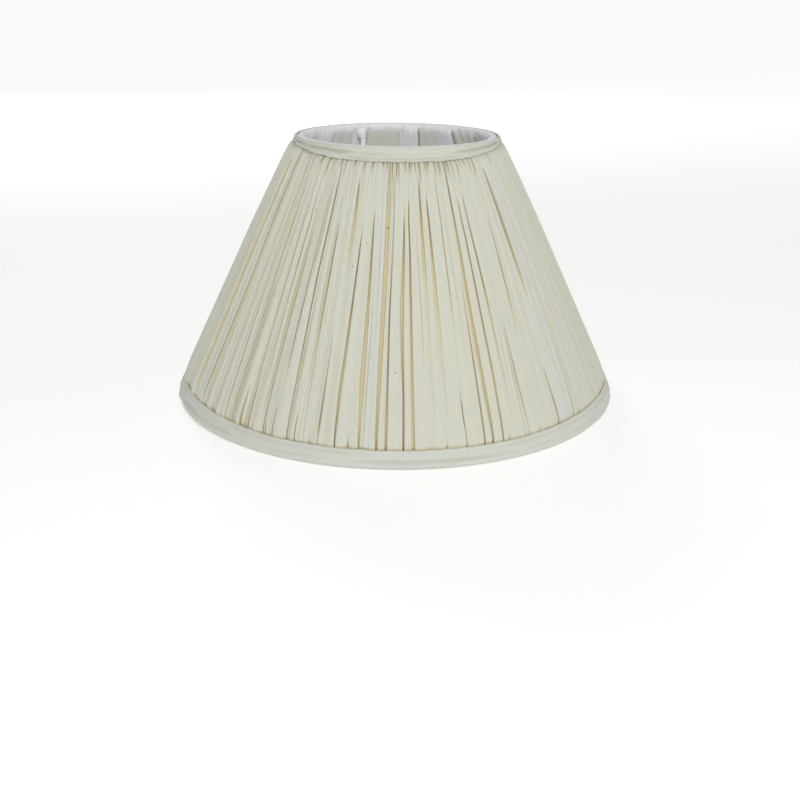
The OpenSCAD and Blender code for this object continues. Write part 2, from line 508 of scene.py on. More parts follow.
def base_edge(theta):
    """Upper edge of the bottom binding."""
    degrees = np.degrees(theta) % 360
    dip = LAP_DIP[2] * bell(degrees, *LAP_DIP[:2])
    lift = LAP_RISE[2] * bell(degrees, *LAP_RISE[:2])
    return BASE_TRIM_Z + (between(BASE_EDGE_RISE, from_front(theta)) - dip + lift) * MM


def fullness(z, theta):
    """How far the gathers stand off their inner face: pressed at the bindings, full between."""
    top = between(FULL_BELOW_TOP, (top_edge(theta) - z) / MM)
    base = between(FULL_ABOVE_BASE, (z - base_edge(theta)) / MM)
    return np.minimum(top, base) * MM


# ------------ valleys of the cover

COVER_SEED = 20
CLOTH_T = 0.28 * MM
MIDDLE = 110  # height in mm at which valleys are put in order
CREASE_GAP = 0.2  # gap in mm that a valley closes to past its ends

# Valleys of the front, each as points (height, angle, gap, depth) down its run, in mm and
# degrees. Between its points a valley is open, and above and below them it is only a crease.
FRONT_VALLEYS = [
    [(152, -112.6, 0.4, 1.6), (138, -112.3, 0.9, 2.2), (110, -112.3, 1.0, 2.0), (75, -112.4, 0.9, 1.0),
     (20, -112.0, 0.5, 0.5)],
    [(180, -108.4, 0.4, 2.0), (168, -107.9, 1.3, 2.2), (150, -107.3, 1.8, 1.3),
     (128, -106.8, 1.5, 0.6)],
    [(85, -108.3, 0.3, 0.6), (46, -108.3, 0.3, 1.4), (30, -108.3, 0.4, 1.8), (18, -108.3, 0.4, 0.8)],
    [(146, -103.0, 0.3, 1.8), (120, -103.3, 0.7, 2.3), (80, -103.7, 1.3, 2.2), (50, -104.1, 1.5, 2.0),
     (15, -104.0, 0.8, 2.2)],
    [(160, -98.7, 0.3, 1.6), (140, -98.6, 0.8, 2.4), (100, -98.5, 1.5, 2.3), (60, -98.6, 2.8, 1.9),
     (30, -98.3, 1.4, 1.5), (15, -98.2, 0.8, 1.8)],
    [(194, -93.8, 1.0, 1.6), (175, -93.8, 1.8, 2.0), (140, -94.3, 2.1, 1.9), (100, -94.6, 2.2, 1.9),
     (50, -94.6, 1.7, 2.0), (15, -94.3, 0.9, 2.2)],
    [(186, -91.2, 0.2, 0.7), (135, -91.6, 0.3, 1.0), (105, -91.9, 0.4, 2.2), (60, -92.1, 0.8, 2.3),
     (30, -92.2, 1.4, 2.2), (15, -92.2, 1.2, 2.3)],
    [(158, -87.0, 0.3, 1.8), (140, -87.5, 0.8, 2.3), (105, -88.3, 1.8, 2.1), (70, -88.2, 1.0, 2.0),
     (50, -88.0, 0.4, 2.2), (15, -88.1, 0.6, 2.5)],
    [(168, -84.1, 0.3, 1.8), (140, -84.5, 0.8, 2.4), (100, -85.2, 1.2, 2.4), (60, -85.8, 1.6, 2.1),
     (15, -85.9, 1.7, 2.0)],
    [(180, -80.4, 0.3, 1.8), (165, -80.6, 0.9, 2.3), (140, -81.0, 1.5, 1.6), (110, -81.0, 1.6, 0.7),
     (40, -80.7, 1.0, 0.35)],
    [(170, -77.8, 0.3, 1.8), (150, -77.6, 0.8, 2.3), (120, -77.3, 1.9, 1.6), (90, -77.2, 2.2, 0.9),
     (40, -76.8, 0.8, 0.4)],
    [(184, -73.5, 0.2, 0.7), (150, -72.9, 0.3, 1.0), (120, -72.8, 0.5, 1.1), (90, -72.9, 0.4, 0.5)],
    [(46, -73.4, 0.3, 0.9), (34, -73.3, 0.5, 1.7), (22, -72.8, 0.3, 0.9)],
    [(115, -68.8, 0.2, 0.6), (60, -68.6, 0.5, 1.8), (15, -68.8, 0.5, 2.0)],
    [(197, -67.9, 0.4, 1.6), (170, -67.3, 0.9, 2.3), (135, -66.8, 2.0, 2.1), (80, -66.3, 2.6, 2.0),
     (40, -66.0, 2.2, 2.1), (15, -65.9, 1.1, 2.3)],
    [(168, -63.5, 0.3, 1.2), (150, -63.5, 0.5, 2.0), (100, -63.5, 0.8, 2.0), (60, -63.4, 1.1, 1.6),
     (15, -63.8, 0.7, 1.7)],
    [(172, -60.9, 0.3, 1.0), (150, -60.5, 0.5, 2.0), (120, -60.3, 0.9, 1.9), (90, -59.9, 1.3, 1.0),
     (30, -60.3, 0.5, 0.4)],
    [(90, -56.0, 0.2, 0.6), (55, -56.4, 0.5, 2.0), (42, -56.2, 0.4, 1.4), (20, -55.9, 0.3, 0.6)],
    [(156, -52.4, 0.2, 0.9), (138, -52.2, 0.6, 1.7), (112, -51.8, 1.1, 1.2), (85, -51.8, 1.0, 0.5)],
    [(186, -46.8, 0.6, 2.0), (168, -46.3, 1.8, 3.0), (145, -45.4, 2.5, 2.6), (120, -44.2, 2.6, 1.6),
     (105, -43.2, 2.0, 0.5)],
    [(50, -45.8, 0.3, 1.0), (32, -45.8, 0.9, 2.2), (16, -45.8, 0.7, 2.3)],
    [(66, -38.0, 0.2, 0.7), (40, -38.8, 0.5, 2.0), (16, -39.5, 1.0, 2.4)],
    [(190, -32.5, 0.6, 0.5), (90, -32.8, 0.6, 0.5)],
    [(38, -27.4, 0.4, 0.9), (22, -27.2, 0.9, 1.7), (18, -27.2, 0.6, 1.2)],
    [(30, -25.3, 0.5, 1.0), (19, -25.6, 1.0, 1.9)],
    [(188, -117.9, 0.4, 1.8), (170, -117.5, 0.7, 2.3), (120, -117.0, 0.6, 2.2), (80, -116.7, 0.5, 2.0),
     (40, -116.0, 0.4, 1.9), (15, -115.3, 0.6, 2.3)],
    [(30, -114.2, 0.3, 0.9), (18, -114.1, 0.5, 1.6)],
    [(178, -119.8, 0.2, 0.7), (140, -119.6, 0.4, 1.5), (90, -119.7, 0.6, 1.8), (60, -119.3, 0.4, 0.6)],
    [(32, -120.4, 0.3, 0.9), (18, -120.2, 0.6, 1.8)],
    [(145, -123.9, 0.3, 1.2), (115, -123.3, 0.5, 1.6), (60, -122.8, 0.4, 1.4), (40, -122.3, 0.4, 1.6),
     (17, -121.2, 0.7, 2.2)],
    [(172, -126.5, 0.2, 1.2), (155, -126.0, 0.6, 2.4), (130, -125.6, 0.7, 2.3), (100, -125.2, 0.4, 1.3),
     (55, -124.7, 0.3, 0.5)],
    [(170, -130.8, 0.3, 1.2), (152, -130.1, 0.9, 2.0), (130, -129.8, 0.8, 1.1), (60, -128.8, 1.0, 0.5)],
    [(48, -128.3, 0.3, 1.2), (30, -128.3, 0.9, 2.2), (17, -128.0, 1.0, 2.3)],
    [(38, -130.5, 0.2, 0.6), (18, -130.3, 0.6, 1.7)],
    [(178, -133.8, 0.4, 0.9), (150, -134.4, 0.8, 1.6), (120, -134.3, 0.6, 1.6), (60, -134.3, 0.7, 1.6),
     (18, -133.4, 0.6, 1.9)],
    [(198, -136.7, 0.5, 1.2), (190, -136.8, 0.8, 1.8), (180, -136.9, 0.5, 0.7), (100, -137.1, 0.5, 0.7),
     (55, -136.7, 0.7, 1.4), (18, -136.4, 0.6, 0.9)],
    [(155, -141.9, 0.3, 1.2), (130, -141.7, 1.2, 2.0), (100, -142.0, 1.6, 1.0), (75, -142.0, 1.0, 0.4)],
    [(40, -140.0, 0.3, 0.9), (20, -139.9, 0.7, 1.7)],
    [(180, -145.6, 0.5, 0.8), (100, -145.3, 0.6, 1.2), (40, -145.5, 1.0, 2.0), (18, -145.3, 0.8, 1.8)],
    [(200, -146.7, 0.7, 2.0), (170, -146.8, 1.0, 2.3), (120, -147.4, 1.0, 2.0), (80, -147.9, 1.0, 1.8),
     (30, -148.5, 0.8, 1.5)],
    [(190, -154.6, 0.8, 0.6), (30, -154.6, 1.0, 0.6)],
]
# Short puckers under the top binding, and shorter ones at the hem, by their angle.
FRONT_PUCKERS = [
    -156.5, -153.0, -150.5, -148.6, -144.2, -142.4, -139.5, -135.2, -132.0, -130.6, -128.7, -125.0,
    -122.0, -118.6, -115.2, -110.8, -106.4, -101.3, -96.0, -94.9, -92.6, -90.4, -89.3, -86.2, -85.2,
    -82.6, -81.6, -79.0, -77.0, -76.3, -74.8, -71.2, -70.1, -69.0, -66.4, -65.2, -62.5, -59.2, -55.5,
    -57.8, -53.6, -50.7, -42.0, -36.5, -29.5,
]
HEM_PUCKERS = [
    -172.0, -167.5, -163.0, -160.5, -151.8, -142.6, -134.9, -126.8, -122.9, -110.4, -101.0, -77.9,
    -62.0, -53.1, -42.2, -36.4, -33.0, -30.6, -22.8, -20.4, -18.6, -15.9, -13.4, -11.8, -9.1, -6.5,
    -3.8, -0.9,
]

# The sides and back are filled from a seeded generator, between these angles.
SPARE_FROM, SPARE_TO = -21.0, 201.5
# Shares of the kinds of valley there: open from high up to the hem, open high up only, open
# near the hem only, and a fine line from binding to binding.
KIND_SHARES = (0.36, 0.27, 0.20, 0.17)
SPARE_PITCH, SPARE_PITCH_LEAST = 2.75, 1.15
PUCKER_PITCH = 3.7


def spare_run(rng, kind, lean, wide):
    """One valley of the given kind, its angles counted from its own place."""
    if kind == 0:
        top = rng.uniform(135, 190)
        return [(top, 0.0, 0.3, 1.7), (top - 22, 0.2 * lean, 0.6 * wide, 2.3), (90, 0.7 * lean, wide, 2.1),
                (45, lean, wide * rng.uniform(0.6, 1.2), 2.0), (15, lean, 0.6 * wide, 2.2)]
    if kind == 1:
        top = rng.uniform(150, 190)
        gone = rng.uniform(60, 115)
        return [(top, 0.0, 0.3, 1.7), (top - 16, 0.2 * lean, 0.8 * wide, 2.3),
                ((top + gone) / 2, 1.2 * lean, 1.3 * wide, 1.5), (gone, 2 * lean, wide, 0.4)]
    if kind == 2:
        top = rng.uniform(36, 85)
        return [(top, 0.0, 0.25, 0.7), (0.55 * top, 0.5 * lean, 0.5 * wide, 2.0), (16, lean, 0.7 * wide, 2.2)]
    return [(192, -0.5 * lean, 0.2, 0.7), (150, 0.0, 0.35, 1.3), (90, 0.0, 0.5, 1.9), (17, lean, 0.5, 1.9)]


def spare_valleys(rng):
    """More valleys of the same kinds, for the sides and back, and where their puckers are."""
    runs = []
    at = SPARE_FROM
    while at < SPARE_TO:
        kind = rng.choice(4, p=KIND_SHARES)
        lean = rng.normal(0, 0.55)
        wide = rng.uniform(0.5, 1.3) * (1.5 if rng.random() < 0.22 else 1.0)
        run = spare_run(rng, kind, lean, wide)
        runs.append([(height, at + angle, gap, depth) for height, angle, gap, depth in run])
        at += max(SPARE_PITCH_LEAST, rng.lognormal(math.log(SPARE_PITCH), 0.42))
    puckers = np.arange(-22, 202, PUCKER_PITCH)
    return runs, list(puckers + rng.uniform(-1.3, 1.3, len(puckers)))


def run_at(run, height):
    """Angle, gap and depth of a valley at a height in mm; past its ends it fades to a crease."""
    heights, angles, gaps, depths = (list(column)[::-1] for column in zip(*run))
    low, high = heights[0], heights[-1]
    angle = np.interp(height, heights, angles)
    gap = np.interp(height, [low - 10, *heights, high + 10], [CREASE_GAP, *gaps, CREASE_GAP])
    fade = 0.25 * depths[0] if low > 25 else depths[0]
    depth = np.interp(height, [low - 9, *heights, high + 7], [fade, *depths, 0.10])
    return angle, gap, depth


def soft_creases(rng, runs):
    """Faint soft creases in the wider panels between the valleys."""
    creases = []
    taken = sorted(run_at(run, MIDDLE)[0] for run in runs)
    for a, b in zip(taken, taken[1:] + [taken[0] + 360]):
        width = b - a
        chance = 0.30 if -114 < a < -60 else 0.95
        for share in (0.5,) if width < 3.6 else (0.34, 0.67):
            if width > 1.9 and rng.random() < chance:
                at = a + width * (share + rng.uniform(-0.08, 0.08))
                top = rng.uniform(90, 200)
                end = max(14.0, top - rng.uniform(60, 150))
                turn = rng.normal(0, 0.25)
                deep = rng.uniform(0.35, 1.0)
                gap = rng.uniform(0.2, 0.9)
                deep = deep * (0.45 if -60 < a < 0 else 1.0)
                creases.append([(top, at - turn, 0.3, deep * 0.5), ((top + end) / 2, at, gap, deep),
                                (end, at + turn, 0.4, deep * 0.7)])
    return creases


def top_puckers(rng, angles):
    runs = []
    for at in angles:
        drop = rng.uniform(3.5, 16)
        gap = rng.uniform(0.20, 0.70)
        edge = float(top_edge(np.radians(at))) / MM
        runs.append([(edge + 3, at, gap * 0.8, 1.0), (edge - 2.5, at, gap, 1.5),
                     (edge - drop, at + rng.normal(0, 0.15), 0.3, 0.3)])
    return runs


def hem_puckers(rng, angles):
    runs = []
    for at in angles:
        rise = rng.uniform(2, 9)
        gap = rng.uniform(0.25, 0.5)
        edge = float(base_edge(np.radians(at))) / MM
        runs.append([(edge + rise, at, gap, 0.4), (edge + 1, at, gap, 1.4), (edge - 3, at, gap, 1.2)])
    return runs


def all_valleys(rng):
    """Every valley, crease and pucker, in order round the shade, and their angles in radians."""
    spare, spare_puckers = spare_valleys(rng)
    runs = FRONT_VALLEYS + spare
    runs = runs + soft_creases(rng, runs)
    runs = runs + top_puckers(rng, FRONT_PUCKERS + spare_puckers)
    runs = runs + hem_puckers(rng, HEM_PUCKERS)
    middle = np.array([run_at(run, MIDDLE)[0] for run in runs])
    return [runs[i] for i in np.argsort(middle)], np.radians(np.sort(middle))


# ------------ cover

# Rows of the cover, as shares of the way under the top binding, down the open cloth from
# binding to binding, and under the bottom binding.
ROWS_UNDER_TOP = (1.0, 0.6, 0.25)
OPEN_ROWS = np.concatenate([np.linspace(0, 0.16, 17)[:-1], np.linspace(0.16, 0.90, 26)[:-1],
                            np.linspace(0.90, 1, 10)])
ROWS_UNDER_BASE = (0.25, 0.5, 0.75, 1.0)
# A valley's wall, as (place from its lip at -1 to its foot at 0, share of the depth).
WALL = ((-1.0, 0.0), (-0.60, 0.22), (-0.25, 0.62), (0.0, 0.93))
PANEL_POINTS = 5
# Panels of the cloth that are cooler than the rest, as (angle, half width, how much).
COOL_BANDS = ((-96.4, 1.5, 0.45), (-42.5, 2.6, 0.40), (-152.3, 1.5, 0.4), (-137.8, 0.8, 0.2),
              (38.0, 1.8, 0.4), (121.0, 1.6, 0.4))
# Between these angles one wall of each valley (0 before it, 1 after it) faces the front. It is
# the wider one, and shows its golden shade.
FACING_WALLS = ((0, -172, -112), (1, -68, -8))


def row_height(theta, row):
    top, base = top_edge(theta), base_edge(theta)
    if row < len(ROWS_UNDER_TOP):
        return top + (TOP_Z + 1.2 * MM - top) * ROWS_UNDER_TOP[row]
    row -= len(ROWS_UNDER_TOP)
    if row < len(OPEN_ROWS):
        return top + (base - top) * OPEN_ROWS[row]
    return base + (BASE_Z + 0.6 * MM - base) * ROWS_UNDER_BASE[row - len(OPEN_ROWS)]


def wall_widths(rng, at):
    """Widths in mm of each valley's two walls: some gentle, some steep, at least one steep."""
    n = len(at)
    gentle = rng.random((n, 2)) >= 0.5
    steep = rng.uniform(0.25, 0.45, (n, 2))
    widths = np.where(gentle, rng.uniform(0.5, 1.5, (n, 2)), steep)
    least = rng.uniform(0.22, 0.40, n)
    widths[np.arange(n), rng.integers(0, 2, n)] = least
    for side, low, high in FACING_WALLS:
        chosen = (np.degrees(at) > low) & (np.degrees(at) < high)
        widths[chosen, side] = rng.uniform(0.40, 0.75, chosen.sum())
        widths[chosen, 1 - side] = rng.uniform(0.22, 0.36, chosen.sum())
    return widths


def random_waves(rng, counts, swing):
    """Waves round the shade, as (count, phase, size, change of phase down the slope)."""
    return [(k, rng.uniform(0, 2 * math.pi), rng.normal(0, 1), rng.uniform(-swing, swing)) for k in counts]


def wave_sum(waves, theta, below):
    return sum(size * np.cos(k * theta + phase + swing * (below / 200)) for k, phase, size, swing in waves)


def keep_apart(turn, gap, walls, radius):
    """Valleys pushed sideways until neighbours keep a little cloth between them."""
    need = 0.5 * (gap + np.roll(gap, -1)) + 1.0 + 0.45 * (walls[:, 1] + np.roll(walls[:, 0], -1))
    need = need * MM * np.minimum(1.0, radius / 0.10)
    for _ in range(60):
        step = np.roll(turn, -1) - turn
        step[-1] += 2 * math.pi
        short = np.clip(need / radius - step, 0, None) * 0.5
        turn = turn - short + np.roll(short, 1)
    return turn


def panel_section(turn, gap, depth, walls, radius, crown, lean):
    """From each valley's floor over the panel to the next one's: (arc, fall, bulge) arrays.

    arc is the distance from the valley's middle, fall how far the cloth lies below the full
    height, and bulge how far the panel stands above it.
    """
    next_turn = np.roll(turn, -1).copy()
    next_turn[-1] += 2 * math.pi
    next_gap, next_depth = np.roll(gap, -1), np.roll(depth, -1)
    pitch = (next_turn - turn) * radius
    cloth = pitch - (gap + next_gap) / 2
    # a shallow crease has wide soft sides
    ease = 1 + 1.6 * (1 - smooth(0.4 * MM, 1.6 * MM, depth))
    most = 0.34 * np.maximum(cloth, 0.2 * MM)
    after = np.minimum(walls[:, 1] * MM * ease, most)
    before = np.minimum(np.roll(walls[:, 0], -1) * MM * np.roll(ease, -1), most)
    wide = np.maximum(cloth - after - before, 0.05 * MM)
    start, end = gap / 2 + after, pitch - next_gap / 2 - before
    none = np.zeros(len(turn))
    points = [(none, depth, none), (gap * 0.28, depth * 0.995, none)]
    points += [(gap / 2 - place * after, depth * share, none) for place, share in WALL[::-1]]
    for k in range(1, PANEL_POINTS + 1):
        t = k / (PANEL_POINTS + 1)
        bulge = (crown * (1 - (2 * t - 1) ** 2) + lean * (t - 0.5) * (1 - (2 * t - 1) ** 4)) * wide
        points.append((start + (end - start) * t, none, bulge))
    points += [(pitch - next_gap / 2 + place * before, next_depth * share, none) for place, share in WALL]
    points.append((pitch - next_gap * 0.28, next_depth * 0.995, none))
    return [np.stack(part, 1) for part in zip(*points)]


def cover_paint(theta, z, below, falls, opening, tone, row):
    """(fold shade, tone, painted shade) over the cover, all shade painted into the colour. In a fold the tone
    says how open it is.
    """
    sideways = smooth(18, 45, from_front(theta))
    from_base = np.abs(z - base_edge(theta)) / MM
    # painted golden shade down in each valley, and in a thin line where the cover meets the bottom binding
    fold = smooth(0.10 * MM, (1.6 - 0.75 * sideways) * MM, falls)
    fold = np.maximum(fold, 0.75 * bell(from_base, 0, 0.9))
    degrees = (np.degrees(theta) + 180) % 360 - 180
    for at, half, amount in COOL_BANDS:
        tone = tone - amount * smooth(half * 1.35, half * 0.8, np.abs(degrees - at))
    tone = tone + (smooth(0.3 * MM, 1.7 * MM, opening) - tone) * smooth(0.0, 0.5 * MM, falls)
    # painted shade, by how deep the cloth lies: valleys seen edge-on at the sides, a thin line just under the
    # top binding, and along the hem
    line = np.clip(falls / (2.2 * MM), 0, 1)
    edge_on = sideways * smooth(0.5 * MM, 1.8 * MM, falls)
    painted_shade = 0.55 * bell(below, 0, 1.3) * (row >= len(ROWS_UNDER_TOP)) * (0.5 + 0.5 * line)
    painted_shade = painted_shade + 0.30 * line * bell(from_base, 0, 1.2)
    return np.stack([fold, np.clip(tone, 0, 1), np.clip(painted_shade + 0.50 * edge_on, 0, 1)], -1)


def build_cover():
    """The gathered cloth, row by row from the top, each row once round the shade."""
    rng = np.random.default_rng(COVER_SEED)
    runs, nominal = all_valleys(rng)
    n = len(runs)
    walls = wall_widths(rng, nominal)
    crown = rng.uniform(0.012, 0.035, n)
    lean = rng.normal(0, 0.05, n)
    panel_tone = rng.uniform(-0.22, 0.22, n)
    soft = random_waves(rng, range(23, 140, 6), 1.2)
    fine = random_waves(rng, range(150, 330, 9), 3)

    grid, paints = [], []
    for row in range(len(ROWS_UNDER_TOP) + len(OPEN_ROWS) + len(ROWS_UNDER_BASE)):
        z_at = row_height(nominal, row)
        angle, gap, depth = np.array([run_at(run, h) for run, h in zip(runs, z_at / MM)]).T.copy()
        radius = cone_r(z_at) + TAPE_R * SPREAD
        turn = keep_apart(np.radians(angle), gap, walls, radius)
        # the valleys left of the front are wider and deeper
        left = smooth(-110, -122, angle)
        gap = gap * MM * (1 + 0.35 * left)
        depth = np.minimum(depth * MM * (1 + 0.40 * left), 0.86 * fullness(z_at, turn))
        arcs, falls, bulges = panel_section(turn, gap, depth, walls, radius, crown, lean)
        across = arcs.shape[1]
        theta = (turn[:, None] + arcs / radius[:, None]).reshape(-1)
        falls, bulges = falls.reshape(-1), bulges.reshape(-1)
        z = row_height(theta, row)
        full = fullness(z, theta)
        below = np.clip((top_edge(theta) - z) / MM, 0, None)
        round_back = (np.degrees(theta) + 160) % 360 - 160
        uneven = 1.0 + 2.2 * smooth(-112, -126, round_back) + 1.0 * smooth(15, 60, round_back)
        soft_wave = wave_sum(soft, theta, below) * 0.075 * MM * uneven
        crinkle = wave_sum(fine, theta, below) * 0.060 * MM * (0.22 + np.exp(-below / 22))
        ripple = (soft_wave + crinkle) * np.clip(full / (3 * MM), 0.1, 1)
        height = full - falls + bulges + ripple * (1 - 0.7 * np.clip(falls / (2 * MM), 0, 1))
        height = np.clip(height, 0.05 * MM, None)
        grid.append(round_grid(cone_r(z) + (TAPE_R + height) * SPREAD, z, theta))
        first_half = np.arange(across) < across // 2
        opening = np.where(first_half, gap[:, None], np.roll(gap, -1)[:, None]).reshape(-1)
        # the tone is warmer in the hollows of the soft waves and cooler on their crests: painted shade
        tone = 0.50 + np.repeat(panel_tone, across) - soft_wave / MM * 0.22
        paints.append(cover_paint(theta, z, below, falls, opening, tone, row))
    grid, paints = np.stack(grid)[::-1], np.stack(paints)[::-1]
    return cloth_mesh("calico_cover", grid, CLOTH_T, COVER_CLOTH, along_cloth(grid), paints)


cover = build_cover()
stand_for(cover, "cover")

# ------------ lining

# Tucks of the lining, as (angle of its edge, width of the doubled cloth in degrees, length down).
LINING_TUCKS = (
    (110.5, 10.0, 90), (76.0, 12.5, 120), (52.0, 13.0, 80), (137.0, 16.0, 55), (160.0, 9.0, 70),
    (31.0, 8.0, 60), (8.0, 11.0, 90), (-14.0, 9.0, 60), (-37.0, 12.0, 80), (-62.0, 10.0, 110),
    (-85.0, 13.0, 70), (-109.0, 9.0, 90), (-133.0, 12.0, 65), (-158.0, 11.0, 100), (-178.0, 8.0, 75),
)
LINING_COLS = 1200
LINING_T = 0.25 * MM
LINING_REACH = TAPE_R + 0.25 * MM
TUCK_STEP = 2.0 * MM
SAG = 1.0 * MM


def lining_columns():
    """Angles of the lining's columns, closer together at each tuck's edge, where it steps."""
    theta = np.linspace(-math.pi, math.pi, LINING_COLS, endpoint=False)
    density = np.ones(LINING_COLS)
    for at, _, _ in LINING_TUCKS:
        away = np.abs((np.degrees(theta) - at + 180) % 360 - 180)
        density += 7 * bell(away, 0, 0.9)
    spread = np.cumsum(density)
    return np.interp(np.linspace(0, spread[-1], LINING_COLS, endpoint=False),
                     np.concatenate([[0], spread]), np.linspace(-math.pi, math.pi, LINING_COLS + 1))


def tucked(theta, below):
    """How far the tucks stand inwards, the painted shade line at their edges, and where cloth is doubled."""
    out, dark, double = np.zeros(LINING_COLS), np.zeros(LINING_COLS), np.zeros(LINING_COLS)
    for k, (at, width, length) in enumerate(LINING_TUCKS):
        lean = 0.035 * below * (1 if k % 2 else -0.6)
        away = (np.degrees(theta) - at - lean + 180) % 360 - 180
        fade = bell(below, 0, length) * (0.30 + 0.70 * smooth(0, 4, below))
        out += TUCK_STEP * smooth(-0.10, 0.28, away) * (1 - smooth(width * 0.35, width, away)) * fade
        dark += bell(away, -0.22, 0.48) * fade
        double += smooth(-0.1, 0.2, away) * (1 - smooth(width * 0.86, width, away)) * min(1, fade * 1.2)
    return out, dark, double


def build_lining():
    """White cloth inside the struts, tucked in uneven folds, rolled out over the top ring."""
    rng = np.random.default_rng(7)
    theta = lining_columns()
    low, high = BASE_Z - 1.9 * MM, TOP_Z - 0.9 * MM
    fine_from = high - 60 * MM
    walls = np.concatenate([np.linspace(low, fine_from, 18)[:-1], np.linspace(fine_from, high, 34)])
    puckers = ring_noise(rng, theta, range(24, 120, 3), 0.55 * MM, 0.3)
    long_puckers = ring_noise(rng, theta, range(9, 60, 2), 0.30 * MM, 0.4)
    sag_wave = ring_noise(rng, theta, range(3, 26), 0.35 * MM, 0.6)
    grid, paint = [], []
    for z in walls:
        below = (high - z) / MM
        out, dark, double = tucked(theta, below)
        sag = SAG * math.sin(math.pi * min(1.0, below / 200)) + np.abs(sag_wave)
        rough = puckers * math.exp(-below / 7) * smooth(-1, 3, below) + long_puckers * math.exp(-below / 26)
        radius = cone_r(z) - (LINING_REACH + 0.2 * MM) * SPREAD
        radius = radius - out - sag - np.clip(rough, -0.4 * MM, 2 * MM)
        grid.append(round_grid(radius, z, theta))
        # painted shade along each tuck's edge; the single layer is painted warmer for the cover's light seen
        # through it, the doubled cloth stays white
        single = 0.85 * (1 - np.clip(double, 0, 1)) * smooth(1, 5, below)
        paint.append(np.stack([np.clip(dark, 0, 1), single, np.clip(dark * 0.5, 0, 1)], -1))
    # the roll over the ring, drawn up by the stitches under the binding, with a little painted shade in its
    # gathers
    gathers = ring_noise(rng, theta, range(22, 90, 3), 0.13 * MM, 0.4)
    none = np.zeros(LINING_COLS)
    for degrees in np.linspace(8, 190, 16):
        a = math.radians(degrees)
        outer = LINING_REACH + 0.20 * MM + gathers * math.sin(a) ** 2 * 0.4 + gathers * (degrees < 80)
        radius = TOP_R - math.cos(a) * outer * 1.06
        grid.append(round_grid(radius, TOP_Z + math.sin(a) * outer, theta))
        paint.append(np.stack([np.clip(gathers / (1.6 * MM), 0, 0.16), none, none], -1))
    # the face that is seen looks at the axis, so the columns are turned to face inwards
    grid, paint = np.stack(grid)[:, ::-1], np.stack(paint)[:, ::-1]
    return cloth_mesh("lining_cloth", grid, LINING_T, LINING_CLOTH, along_cloth(grid), paint)


lining = build_lining()
stand_for(lining, "lining")

# ------------ bindings

BINDING_T = 0.65 * MM
FOLD_OUT = 1.0 * MM  # how far a binding's face stands off the cover
TOP_CREASE, TOP_LOW_CREASE = (0.56, 0.11), (0.20, 0.10)  # share of the height, and width
BASE_CREASE, BASE_HIGH_CREASE = (0.36, 0.11), (0.80, 0.08)
BASE_ROLLS = ((0.25, 0.12, 0.14), (0.20, 0.66, 0.22), (0.30, 0.95, 0.07))  # mm, share, width
LAP_RIDGE, LAP_FOLD = (193, 1.6), (197, 1.2)  # degrees, and width
# The bottom binding's toe: (mm out from the ring, mm above the floor, shade).
TOE = ((-1.5, 0.75, 0.3), (-0.6, 0.10, 0.2), (1.2, 0.05, 0.1), (3.2, 0.40, 0.0), (4.7, 1.15, 0.0),
       (5.6, 2.1, 0.0))
TOE_OUT, TOE_TOP = 6.25 * MM, 3.1 * MM


def build_binding(name, path, seed, cols):
    """A bias strip folded round a ring: path(theta, rng) gives rows of (radius, height, shade)."""
    rng = np.random.default_rng(seed)
    theta = np.linspace(0, 2 * math.pi, cols, endpoint=False)
    rows = path(theta, rng)
    grid = np.stack([round_grid(radius, z, theta) for radius, z, _ in rows])
    tone = 0.45 + ring_noise(rng, theta, range(2, 24), 0.12, 0.5)
    paint = np.zeros(grid.shape)
    for i, (_, _, shade) in enumerate(rows):
        shade = np.clip(shade, 0, 1)
        paint[i, :, 0] = shade * 0.6
        paint[i, :, 1] = np.clip(tone, 0, 1)
        paint[i, :, 2] = shade * 0.25
    return cloth_mesh(name, grid, BINDING_T, TRIM_CLOTH, along_cloth(grid), paint)


def top_binding_path(theta, rng):
    edge = top_edge(theta) + ring_noise(rng, theta, range(20, 90, 4), 0.14 * MM, 0.3)
    over = fullness(top_edge(theta), theta) * SPREAD
    last = RIM_Z - 0.55 * MM
    crease = np.clip(0.75 + 0.4 * ring_noise(rng, theta, range(3, 22), 1.0, 0.5), 0.25, 1.4)
    ripple = ring_noise(rng, theta, range(12, 70, 3), 0.22 * MM, 0.5)
    lumps = ring_noise(rng, theta, range(70, 170, 5), 0.07 * MM, 0.0)

    def face(z):
        return cone_r(z) + (TAPE_R + 0.05 * MM) * SPREAD + over

    rows = [(face(edge) - 0.1 * MM, edge + 0.5 * MM, 1.0), (face(edge) + 0.55 * MM, edge - 0.05 * MM, 0.8)]
    for t in np.linspace(0, 1, 16):
        z = edge + 0.35 * MM + (last - 0.9 * MM - edge) * t
        bulge = (0.18 * math.sin(math.pi * t) + 0.35 * bell(t, 0.82, 0.16)) * MM
        dip = 0.85 * MM * bell(t, *TOP_CREASE) * crease
        dip = dip + 0.45 * MM * bell(t, *TOP_LOW_CREASE) * (1.5 - crease)
        radius = face(z) + FOLD_OUT + bulge - dip + ripple * math.sin(math.pi * t) + lumps * (1 - t)
        rows.append((radius, z, 0.14 + dip / (1.05 * MM) + 0.4 * (t == 0)))
    crown = TOP_R + (TAPE_R + 1.6 * MM)
    for out, drop in ((0.55, 0.30), (-0.1, 0.0), (-0.9, 0.05), (-1.4, 0.6)):
        rows.append((crown + out * MM, last - drop * MM, 0.0))
    return rows


